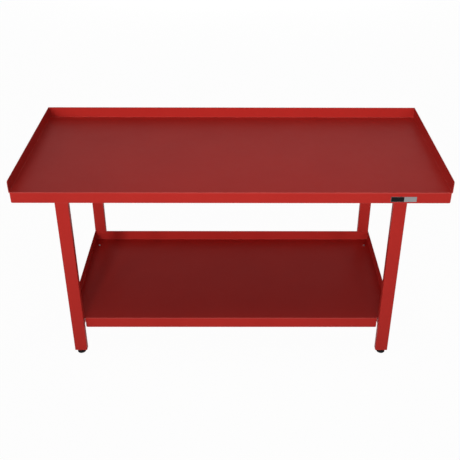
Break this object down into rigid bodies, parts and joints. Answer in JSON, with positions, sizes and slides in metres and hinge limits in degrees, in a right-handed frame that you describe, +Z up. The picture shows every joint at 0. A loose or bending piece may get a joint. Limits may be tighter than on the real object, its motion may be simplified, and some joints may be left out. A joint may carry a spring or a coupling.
{
  "type": "steel workbench",
  "caption": "Free-standing steel workbench: tray worktop with raised back and ends and a turned-down front lip, tube legs, a lower tray shelf and screw-out levelling feet.",
  "frame": {"origin": "on the floor, under the middle of the bench's outline", "axes": "+X along the bench to the right of a person who stands at its front lip, +Y to the back wall, +Z up"},
  "size_m": [1.626, 0.712, 0.807],
  "materials": {
    "red_powder_coat": "semi-gloss powder coat",
    "zinc_plate": "bright zinc plate",
    "black_nylon": "moulded satin",
    "badge": "satin, two-tone, bare"
  },
  "bodies": {
    "frame": {"worktop": "red_powder_coat", "front_top_stiffener": "red_powder_coat", "rear_top_stiffener": "red_powder_coat", "lower_shelf": "red_powder_coat", "shelf_stiffener": "red_powder_coat", "left_upper_rail": "red_powder_coat", "left_lower_rail": "red_powder_coat", "right_upper_rail": "red_powder_coat", "right_lower_rail": "red_powder_coat", "front_left_leg": "red_powder_coat", "rear_left_leg": "red_powder_coat", "front_right_leg": "red_powder_coat", "rear_right_leg": "red_powder_coat", "shelf_screws": "zinc_plate", "top_studs": "zinc_plate", "top_washers": "zinc_plate", "top_nuts": "zinc_plate", "front_left_nut_plate": "zinc_plate", "rear_left_nut_plate": "zinc_plate", "front_right_nut_plate": "zinc_plate", "rear_right_nut_plate": "zinc_plate", "badge_plate": "badge"},
    "front_left_foot": {"front_left_foot_pad": "black_nylon"},
    "front_left_screw": {"front_left_foot_stem": "zinc_plate"},
    "rear_left_foot": {"rear_left_foot_pad": "black_nylon"},
    "rear_left_screw": {"rear_left_foot_stem": "zinc_plate"},
    "front_right_foot": {"front_right_foot_pad": "black_nylon"},
    "front_right_screw": {"front_right_foot_stem": "zinc_plate"},
    "rear_right_foot": {"rear_right_foot_pad": "black_nylon"},
    "rear_right_screw": {"rear_right_foot_stem": "zinc_plate"}
  },
  "joints": [
    {"name": "front_left_foot_slide", "type": "slide", "parent": "frame", "child": "front_left_foot", "axis": [0, 0, -1], "range_m": [0, 0.025]},
    {"name": "front_left_screw_turn", "type": "hinge", "parent": "front_left_foot", "child": "front_left_screw", "pos_m": [-0.627, -0.3385, 0.013], "axis": [0, 0, -1], "range_deg": [0, 5400]},
    {"name": "rear_left_foot_slide", "type": "slide", "parent": "frame", "child": "rear_left_foot", "axis": [0, 0, -1], "range_m": [0, 0.025]},
    {"name": "rear_left_screw_turn", "type": "hinge", "parent": "rear_left_foot", "child": "rear_left_screw", "pos_m": [-0.627, 0.3015, 0.013], "axis": [0, 0, -1], "range_deg": [0, 5400]},
    {"name": "front_right_foot_slide", "type": "slide", "parent": "frame", "child": "front_right_foot", "axis": [0, 0, -1], "range_m": [0, 0.025]},
    {"name": "front_right_screw_turn", "type": "hinge", "parent": "front_right_foot", "child": "front_right_screw", "pos_m": [0.627, -0.3385, 0.013], "axis": [0, 0, -1], "range_deg": [0, 5400]},
    {"name": "rear_right_foot_slide", "type": "slide", "parent": "frame", "child": "rear_right_foot", "axis": [0, 0, -1], "range_m": [0, 0.025]},
    {"name": "rear_right_screw_turn", "type": "hinge", "parent": "rear_right_foot", "child": "rear_right_screw", "pos_m": [0.627, 0.3015, 0.013], "axis": [0, 0, -1], "range_deg": [0, 5400]}
  ],
  "couplings": [
    {"joint": "front_left_foot_slide", "follows": "front_left_screw_turn", "m_per_rad": 0.00023873},
    {"joint": "rear_left_foot_slide", "follows": "rear_left_screw_turn", "m_per_rad": 0.00023873},
    {"joint": "front_right_foot_slide", "follows": "front_right_screw_turn", "m_per_rad": 0.00023873},
    {"joint": "rear_right_foot_slide", "follows": "rear_right_screw_turn", "m_per_rad": 0.00023873}
  ]
}
